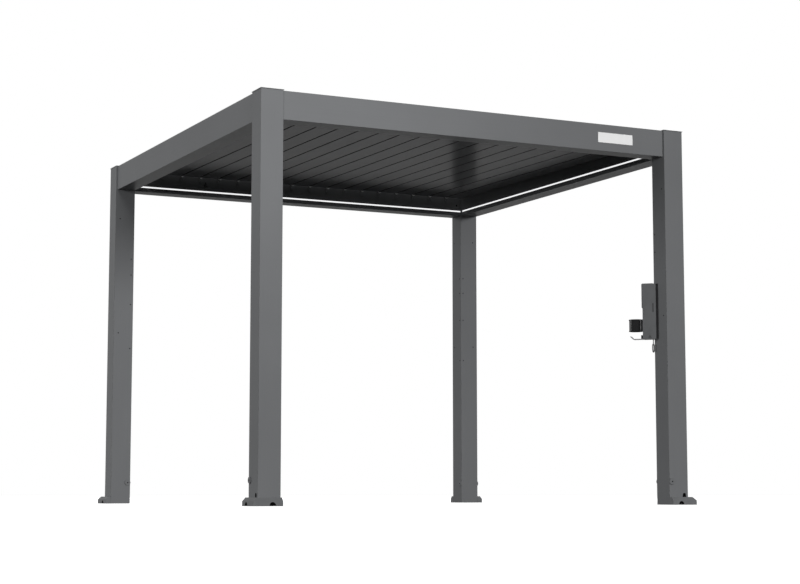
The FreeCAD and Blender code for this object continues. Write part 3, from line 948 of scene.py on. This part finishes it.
@dataclass
class FootTrim:
    """Black screens behind the drain openings of the covers and the posts: painted shade that darkens the
    openings.
    """

    palette: Palette
    bench: Bench
    outer: float = 1.5
    cover: float = 1.54
    cover_wall: float = 0.0025
    notch_inset: float = 0.079
    notch_level: float = 0.003
    notch_size: Pair = (0.046, 0.025)
    post_wall: float = 0.002
    arch_inset: float = 0.029
    arch_level: float = 0.063
    arch_size: Pair = (0.030, 0.030)
    thick: float = 0.0012
    steps: Steps = ((0.002, 0.0), (0.001, -0.0005))

    def pattern(self, name: str, size: Pair) -> bpy.types.Object:
        """A round-topped screen at the origin, facing +Z, with its foot along X and its top towards +Y.

        Args:
            name: the pattern's name.
            size: its width, and its height from foot to top.

        Returns:
            The pattern piece.
        """
        width, height = size
        plate = self.bench.cylinder(name, width / 2, self.thick, ORIGIN, UP)
        self.bench.pick_faces(plate, lambda face: True)
        bpy.ops.mesh.bisect(plane_co=ORIGIN, plane_no=REAR, clear_inner=True, use_fill=True)
        self.bench.pick_faces(plate, facing(-REAR))
        self.bench.extrude(REAR * (width / 2 - height))
        self.bench.inset(plate, facing(UP), self.steps)
        return self.bench.smooth(plate, angle=30.0)

    @staticmethod
    def standing(middle: Vector, normal: Vector) -> Matrix:
        """The place of a screen that stands upright.

        Args:
            middle: the centre of its round top.
            normal: where it faces.

        Returns:
            The matrix from the pattern to that place.
        """
        turn = Matrix((UP.cross(normal), UP, normal)).transposed().to_4x4()
        return Matrix.Translation(middle) @ turn

    def screens(self, name: str, size: Pair, spots: Sequence[Tuple[Vector, Vector]]) -> None:
        """Makes, places and dresses the screens of one size.

        Args:
            name: the joined piece's name.
            size: a screen's width and height.
            spots: where each screen stands and where it faces.
        """
        pattern = self.pattern(name + "_pattern", size)
        whole = self.bench.repeat(pattern, [self.standing(*spot) for spot in spots], name)
        # The near-black screens paint the shade inside the openings.
        fit(whole, self.palette["hole"], "frame")
        self.bench.remove(pattern)

    def build(self) -> None:
        """Builds the painted-shade screens of the covers' half-round notches and of the posts' arches."""
        reach = self.cover - self.cover_wall - self.thick
        near = self.outer - self.notch_inset
        spots = []
        for corner in Corner:
            sx, sy = corner.value
            spots.append((Vector((sx * near, sy * reach, self.notch_level)), Vector((0, sy, 0))))
            spots.append((Vector((sx * reach, sy * near, self.notch_level)), Vector((sx, 0, 0))))
        self.screens("cover_drain_shade_screens", self.notch_size, spots)
        deep = self.outer - self.post_wall - self.thick
        edge = self.outer - self.arch_inset
        level = self.arch_level
        spots = [(Vector((-deep, -edge, level)), -RIGHT), (Vector((edge, -deep, level)), -REAR),
                 (Vector((deep, edge, level)), RIGHT), (Vector((-edge, deep, level)), REAR)]
        self.screens("post_drain_shade_screens", self.arch_size, spots)


@dataclass
class RoofTrim:
    """The louvres' pin collars and edge seals, which also paint the joints' shade, and the small hardware on
    the rear beam's inner face.
    """

    palette: Palette
    bench: Bench
    count: int = 18
    first: float = -1.2932
    pitch: float = 0.1479
    inner: float = 1.3644
    level: float = 2.4196
    drop: float = 0.0257
    clip: float = 0.0145
    collar: float = 0.0062
    collar_length: float = 0.026
    collar_gap: float = 0.0015
    collar_steps: Steps = ((0.0008, 0.0006), (0.0006, -0.0006))
    blade_left: float = 0.0160
    blade_under: float = 0.0030
    seal_short: float = 0.0485
    seal_lift: float = 0.0002
    seal_thick: float = 0.0008
    seal_height: float = 0.006
    seal_steps: Steps = ((0.0012, 0.0001),)
    outlet_across: float = -0.807
    outlet_foot: float = 2.353
    outlet_top: float = 2.391
    outlet_width: float = 0.026
    outlet_depth: float = 0.012
    outlet_taper: Point = (0.25, 0.5, 1.0)
    outlet_steps: Steps = ((0.003, -0.002),)
    outlet_edge: float = 0.0012
    screw_across: float = 1.324
    screw_level: float = 2.365
    screw: float = 0.006
    screw_depth: float = 0.003
    screw_proud: float = 0.0012
    screw_steps: Steps = ((0.0012, 0.0008), (0.0018, 0.0))
    screw_socket: float = 0.0015

    @property
    def fall(self) -> float:
        """The blades' fall to the front, as an angle."""
        return math.atan(self.drop / (2 * self.inner))

    @property
    def span(self) -> float:
        """The length between the beams' inner faces, along the blades' fall."""
        return 2 * self.inner / math.cos(self.fall)

    def louvres(self) -> Iterable[Tuple[str, Vector]]:
        """Goes through the louvres from left to right.

        Returns:
            Each louvre's name and its rear pivot.
        """
        for index in range(self.count):
            pivot = Vector((self.first + self.pitch * index, self.inner, self.level))
            yield "louvre_%02d" % (index + 1), pivot

    def build(self) -> None:
        """Makes, places and dresses the roof trim."""
        self.collars()
        self.edge_seals()
        self.cable_outlet()
        self.strip_screw()

    def collar_pattern(self) -> bpy.types.Object:
        """A long metal collar at the origin, along +Z, with eased ends.

        Returns:
            The pattern piece.
        """
        collar = self.bench.cylinder("pin_collar_pattern", self.collar, self.collar_length, ORIGIN, UP)
        self.bench.inset(collar, capping(UP), self.collar_steps)
        return self.bench.smooth(collar)

    def collars(self) -> None:
        """Gives each blade's two pins a bright collar between clip and blade."""
        pattern = self.collar_pattern()
        along = Vector((0, -math.cos(self.fall), -math.sin(self.fall)))
        rear_end = self.clip + self.collar_gap + self.collar_length / 2
        for name, pivot in self.louvres():
            places = [Bench.seated(pivot + along * reach, along)
                      for reach in (rear_end, self.span - rear_end)]
            pair = self.bench.repeat(pattern, places, name + "_pin_collars")
            fit(pair, self.palette["pin"], name)
        self.bench.remove(pattern)

    def edge_seals(self) -> None:
        """Gives each blade's left edge a black rubber seal, which also paints the shade in the joints seen
        from below.
        """
        length = self.span - self.seal_short * 2
        middle = Vector((-self.blade_left - self.seal_thick / 2, -self.span / 2,
                         self.seal_height / 2 - self.blade_under + self.seal_lift))
        pattern = self.bench.block("edge_seal_pattern", Vector((self.seal_thick, length, self.seal_height)),
                                   middle)
        self.bench.inset(pattern, facing(-RIGHT), self.seal_steps)
        self.bench.smooth(pattern, angle=30.0)
        for name, pivot in self.louvres():
            place = Matrix.Translation(pivot) @ Matrix.Rotation(self.fall, 4, "X")
            seal = self.bench.copy(pattern, name + "_edge_seal", place)
            # The near-black seal is partly a real gasket and partly painted shade in the joints between
            # blades.
            fit(seal, self.palette["hole"], name)
        self.bench.remove(pattern)

    def cable_outlet(self) -> None:
        """A small wedge-shaped outlet for the light strips' cable, on the rear beam above its strip."""
        size = Vector((self.outlet_width, self.outlet_depth, self.outlet_top - self.outlet_foot))
        middle = Vector((self.outlet_across, self.inner - self.outlet_depth / 2,
                         (self.outlet_foot + self.outlet_top) / 2))
        outlet = self.bench.block("cable_outlet", size, middle)
        self.bench.pick_faces(outlet, facing(UP))
        bpy.ops.transform.resize(value=self.outlet_taper,
                                 center_override=(self.outlet_across, self.inner, self.outlet_top))
        self.bench.inset(outlet, facing(-REAR), self.outlet_steps)
        self.bench.soften(outlet, self.outlet_edge)
        self.bench.smooth(outlet, angle=35.0)
        fit(outlet, self.palette["black"], "frame")

    def strip_screw(self) -> None:
        """The screw that holds the rear strip's end, near the right corner."""
        place = Vector((self.screw_across, self.inner - self.screw_proud, self.screw_level))
        head = self.bench.cylinder("strip_screw", self.screw, self.screw_depth, place, Vector((0, -1, 0)),
                                   sides=20)
        self.bench.inset(head, facing(-REAR), self.screw_steps)
        self.bench.extrude(REAR * self.screw_socket)
        self.bench.smooth(head, angle=35.0)
        fit(head, self.palette["hole"], "frame")


@dataclass
class AccessoryTrim:
    """The fittings of the front right post's box: cup wire, lid, vents, seals, liners, clip and hook ring;
    the seals and liners also paint shade.

    They are drawn on the box's own axes: X out from the post's corner, Z up from the ground.
    """

    palette: Palette
    bench: Bench
    corner: float = 1.3561
    bottom: float = 1.084
    height: float = 0.366
    front: float = 0.071
    width: float = 0.075
    skin: float = 0.0012
    soft_edge: float = 0.0004
    cup_reach: float = 0.123
    cup_foot: float = 1.137
    cup_height: float = 0.079
    cup_radius: float = 0.0458
    hoop_wire: float = 0.00156
    hoop_inset: float = 0.0026
    upright_wire: float = 0.00195
    upright_steps: Steps = ((0.00039, 0.0),)
    upright_turns: Tuple[float, ...] = (55.0, 145.0, 235.0, 325.0)
    lid_thick: float = 0.0018
    lid_start: float = 0.001
    lid_over: float = 0.001
    lid_gap: float = 0.0002
    lid_steps: Steps = ((0.002, 0.0), (0.001, -0.0006))
    vent_radius: float = 0.0145
    vent_reach: float = 0.0228
    vent_level: float = 0.0142
    vent_proud: float = 0.0003
    vent_steps: Steps = ((0.0022, -0.0007),)
    seal_start: float = -0.0358
    seal_width: float = 0.0165
    seal_short: float = 0.002
    seal_proud: float = 0.0004
    seal_steps: Steps = ((0.003, 0.0004), (0.002, -0.0006))
    grip_level: float = 0.2067
    grip_width: float = 0.013
    grip_height: float = 0.059
    grip_depth: float = 0.002
    grip_play: float = 0.0004
    grip_rounding: float = 0.96
    grip_steps: Steps = ((0.0015, -0.0003),)
    shelf_block: float = 0.012
    shelf_width: float = 0.056
    shelf_lip: float = 0.026
    shelf_thick: float = 0.003
    clip_deeper: float = 0.0006
    clip_wider: float = 0.001
    clip_lift: float = 0.0004
    clip_steps: Steps = ((0.003, -0.0002),)
    ring_reach: float = 0.008
    ring_drop: float = 0.067
    ring_radius: float = 0.0175
    ring_wire: float = 0.0045
    ring_stretch: float = 0.017
    ring_turn: float = -6.0
    neck_radius: float = 0.0036
    neck_length: float = 0.030
    neck_steps: Steps = ((0.0012, 0.0),)
    neck_bore: float = 0.002

    @property
    def seat(self) -> Matrix:
        """From the box's own axes to the pergola's: X towards the middle, Y to the front left."""
        part = math.sqrt(0.5)
        return Matrix(((-part, -part, 0.0, self.corner), (part, -part, 0.0, -self.corner),
                       (0.0, 0.0, 1.0, 0.0), (0.0, 0.0, 0.0, 1.0)))

    def settle(self, piece: bpy.types.Object, finish: str) -> None:
        """Turns a finished piece into place, dresses it and lets it ride on the frame.

        Args:
            piece: the piece, drawn on the box's own axes.
            finish: its finish in the palette.
        """
        piece.data.transform(self.seat)
        self.bench.smooth(piece)
        fit(piece, self.palette[finish], "frame")

    def build(self) -> None:
        """Makes, places and dresses the box's trim."""
        self.grip_recess_shade()
        self.bracket()
        self.hoops()
        self.uprights()
        self.lid()
        self.vents()
        self.seals()
        self.hook_ring()

    def hoops(self) -> None:
        """Two wire hoops round the cup ring."""
        rings = []
        for level in (self.cup_foot + self.hoop_inset, self.cup_foot + self.cup_height - self.hoop_inset):
            middle = Vector((self.cup_reach, 0.0, level))
            rings.append(self.bench.ring("hoop", self.cup_radius, self.hoop_wire, middle, UP))
        self.settle(self.bench.join(rings, "cup_hoops"), "black")

    def uprights(self) -> None:
        """Four bright wires between the hoops."""
        length = self.cup_height - self.hoop_inset * 2
        bars = []
        for turn in self.upright_turns:
            angle = math.radians(turn)
            middle = Vector((self.cup_reach + self.cup_radius * math.cos(angle),
                             self.cup_radius * math.sin(angle), self.cup_foot + self.cup_height / 2))
            bar = self.bench.cylinder("upright", self.upright_wire, length, middle, UP, sides=12)
            self.bench.inset(bar, capping(UP), self.upright_steps)
            bars.append(bar)
        self.settle(self.bench.join(bars, "cup_uprights"), "rim")

    def lid(self) -> None:
        """The box's thin lid, a shade lighter than its sides."""
        size = Vector((self.front - self.lid_start, self.width + self.lid_over, self.lid_thick))
        middle = Vector(((self.front + self.lid_start) / 2, 0.0,
                         self.bottom + self.height + self.lid_gap + self.lid_thick / 2))
        lid = self.bench.block("box_lid", size, middle)
        self.bench.inset(lid, facing(UP), self.lid_steps)
        self.bench.soften(lid, self.soft_edge)
        self.settle(lid, "lid")

    def vents(self) -> None:
        """A small triangular vent in each side of the box, near its bottom."""
        pair = []
        for side in (-1, 1):
            middle = Vector((self.vent_reach, side * (self.width / 2 + self.vent_proud),
                             self.bottom + self.vent_level))
            vent = self.bench.cylinder("vent", self.vent_radius, self.skin, middle, Vector((0, side, 0)),
                                       sides=3)
            self.bench.inset(vent, capping(REAR), self.vent_steps)
            pair.append(vent)
        self.settle(self.bench.join(pair, "box_vents"), "panel")

    def seals(self) -> None:
        """The black rubber seal along each side of the box, where it meets the post; it also paints the shade
        in the gap there.
        """
        size = Vector((self.seal_width, self.skin, self.height - self.seal_short))
        pair = []
        for side in (-1, 1):
            middle = Vector((self.seal_start + self.seal_width / 2, side * (self.width / 2 + self.seal_proud),
                             self.bottom + self.height / 2))
            strip = self.bench.block("seal", size, middle)
            self.bench.inset(strip, facing(REAR * side), self.seal_steps)
            pair.append(strip)
        # Black strip: partly a real seal and partly painted shade of the gap between box and post.
        self.settle(self.bench.join(pair, "box_seals_and_gap_shade"), "black")

    def grip_recess_shade(self) -> None:
        """A dark liner in the oval grip recess of each side: painted shade of the recess."""
        radius = self.grip_width / 2 - self.grip_play
        size = Vector((radius * 2, self.skin, self.grip_height - self.grip_play * 2))
        level = self.bottom + self.grip_level
        top = level + size.z / 2 - CLOSE
        pair = []
        for side in (-1, 1):
            middle = Vector((0.0, side * (self.width / 2 - self.grip_depth + self.skin / 2), level))
            liner = self.bench.block("liner", size, middle)
            self.bench.pick_edges(liner, lambda first, last: min(first.z, last.z) > top
                                  and abs(first.x - last.x) < CLOSE)
            bpy.ops.mesh.bevel(offset=radius * self.grip_rounding, segments=8, affect="EDGES")
            self.bench.inset(liner, facing(REAR * side), self.grip_steps)
            pair.append(liner)
        # The darker panel plastic on the liners paints the recess's shade.
        self.settle(self.bench.join(pair, "box_grip_recess_shade"), "panel")

    def bracket(self) -> None:
        """The black clip over the shelf's root, at the foot of the box's front."""
        high = self.shelf_lip - self.shelf_thick
        size = Vector((self.shelf_block + self.clip_deeper, self.shelf_width + self.clip_wider, high))
        middle = Vector((self.front + size.x / 2, 0.0,
                         self.bottom + self.shelf_thick + self.clip_lift + high / 2))
        clip = self.bench.block("shelf_clip", size, middle)
        self.bench.inset(clip, facing(RIGHT), self.clip_steps)
        self.bench.soften(clip, self.soft_edge)
        self.settle(clip, "black")

    def hook_ring(self) -> None:
        """The hanging ring: one long round loop under a bored neck."""
        middle = Vector((self.ring_reach, 0.0, self.bottom - self.ring_drop))
        loop = self.bench.ring("hook_ring", self.ring_radius, self.ring_wire, middle, RIGHT, round_sides=40,
                               wire_sides=16)
        self.bench.pick_faces(loop, lambda face: face.center.z > middle.z + CLOSE)
        bpy.ops.transform.translate(value=UP * self.ring_stretch)
        middle = Vector((self.ring_reach, 0.0, self.bottom - self.neck_length / 2))
        neck = self.bench.cylinder("neck", self.neck_radius, self.neck_length, middle, UP, sides=20)
        self.bench.inset(neck, facing(UP), self.neck_steps)
        self.bench.extrude(UP * -self.neck_bore)
        ring = self.bench.join([loop, neck], "hook_ring")
        post = Vector((self.ring_reach, 0.0, 0.0))
        spin = Matrix.Rotation(math.radians(self.ring_turn), 4, "Z")
        ring.data.transform(Matrix.Translation(post) @ spin @ Matrix.Translation(-post))
        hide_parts("hanging_eye")
        self.settle(ring, "steel")


@dataclass(frozen=True)
class Lamp:
    """A large soft lamp: its place and aim, its width and height, its watts and its beam in degrees."""

    name: str
    place: Point
    aim: Point
    size: Pair
    power: float
    spread: float = 180.0

    def hang(self) -> None:
        """Puts the lamp into the scene, out of sight of the camera and of gloss."""
        data = bpy.data.lights.new(self.name, "AREA")
        data.spread = math.radians(self.spread)
        data.shape = "RECTANGLE"
        data.size, data.size_y = self.size
        data.energy = self.power
        lamp = bpy.data.objects.new(self.name, data)
        lamp.location = self.place
        lamp.rotation_euler = (Vector(self.aim) - Vector(self.place)).to_track_quat("-Z", "Y").to_euler()
        lamp.visible_glossy = False
        lamp.visible_camera = False
        bpy.context.scene.collection.objects.link(lamp)
        LOG.info("%s hangs", self.name)


@dataclass
class Studio:
    """The plain studio: floor, light and camera."""

    eye: Point = (-5.3527, -11.2201, 0.0775)
    yaw: float = 26.127
    pitch: float = 6.377
    focal_pixels: float = 1795.9
    width_pixels: float = 800.0
    sensor_width: float = 36.0
    view_depth: float = 200.0
    floor_size: float = 160.0
    floor_level: float = -0.0005
    floor_tone: float = 0.9
    floor_glow: float = 0.8
    floor_gloss: float = 0.33
    bounce: float = 0.05
    sky: float = 0.2
    sky_gloss: float = 0.4
    lamps: Tuple[Lamp, ...] = (
        Lamp("front lamp", (22.5, -33.75, 8.4), (0.0, 0.0, 1.4), (12.5, 6.5), 9300.0),
        Lamp("left lamp", (-13.0, 9.2, 4.0), (0.0, 0.0, 1.4), (4.2, 2.6), 760.0),
        Lamp("near lamp", (-2.6, -6.0, 4.6), (-1.4, -1.5, 2.4), (1.6, 1.6), 7.0, spread=40.0),
        Lamp("fill lamp", (-20.0, -22.0, 3.4), (0.0, 0.0, 1.2), (8.0, 5.0), 2600.0),
        Lamp("rear lamp", (7.0, 11.0, 7.0), (0.0, 0.0, 1.6), (5.0, 4.0), 800.0),
    )

    def camera(self) -> None:
        """Sets the camera where the photograph was taken from."""
        data = bpy.data.cameras.new("camera")
        data.sensor_width = self.sensor_width
        data.lens = self.focal_pixels / self.width_pixels * self.sensor_width
        data.clip_end = self.view_depth
        camera = bpy.data.objects.new("camera", data)
        camera.location = self.eye
        camera.rotation_euler = (math.radians(90.0 + self.pitch), 0.0, -math.radians(self.yaw))
        bpy.context.scene.collection.objects.link(camera)
        bpy.context.scene.camera = camera

    @staticmethod
    def seen_by(shader: Shader, share: float) -> Wire:
        """How white the studio is for a ray.

        Args:
            shader: the floor's or the sky's node tree.
            share: how much of the white shows in gloss.

        Returns:
            1 for rays from the camera and through glass, the share for rays from gloss, else 0.
        """
        path = shader.raw("ShaderNodeLightPath")
        camera = Wire(shader, path.outputs["Is Camera Ray"])
        gloss = Wire(shader, path.outputs["Is Glossy Ray"])
        glass = Wire(shader, path.outputs["Is Transmission Ray"])
        return camera.most(gloss * share).most(glass)

    def floor(self) -> None:
        """A wide pale floor that keeps a soft shadow."""
        Bench.clear()
        bpy.ops.mesh.primitive_plane_add(size=self.floor_size, location=(0, 0, self.floor_level))
        floor = bpy.context.object
        floor.name = "studio_floor"
        shader = Shader(bpy.data.materials.new("floor"))
        pale, dim = (shader.node("ShaderNodeBsdfDiffuse", {}, {"Color": (tone, tone, tone, 1.0)})
                     for tone in (self.floor_tone, self.bounce))
        glow = shader.node("ShaderNodeEmission", {}, {"Color": WHITE, "Strength": self.floor_glow})
        shown = shader.node("ShaderNodeAddShader", {}, {0: pale, 1: glow})
        surface = shader.node("ShaderNodeMixShader", {},
                              {0: self.seen_by(shader, self.floor_gloss), 1: dim, 2: shown})
        shader.raw("ShaderNodeOutputMaterial", {}, {"Surface": surface})
        dress(floor, shader.owner)

    def sky_light(self) -> None:
        """An even pale sky, white where it is seen."""
        world = bpy.data.worlds.new("studio sky")
        bpy.context.scene.world = world
        shader = Shader(world)
        light, white = (shader.node("ShaderNodeBackground", {}, {"Color": WHITE, "Strength": strength})
                        for strength in (self.sky, 1.0))
        mixed = shader.node("ShaderNodeMixShader", {},
                            {0: self.seen_by(shader, self.sky_gloss), 1: light, 2: white})
        shader.raw("ShaderNodeOutputWorld", {}, {"Surface": mixed})

    def build(self) -> None:
        """Sets up camera, floor and light."""
        bpy.context.scene.view_settings.view_transform = "Standard"
        self.camera()
        self.floor()
        self.sky_light()
        for lamp in self.lamps:
            lamp.hang()
        LOG.info("studio is set")


def main() -> None:
    """Dresses the pergola and sets up its studio."""
    logging.basicConfig(level=logging.INFO, format="%(name)s: %(message)s")
    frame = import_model()
    palette = Palette()
    palette.make()
    CadDress(palette, frame["nodes"]).apply()
    bench = Bench()
    PostTrim(palette, bench).build()
    FootTrim(palette, bench).build()
    RoofTrim(palette, bench).build()
    AccessoryTrim(palette, bench).build()
    Studio().build()


if __name__ == "__main__":
    main()
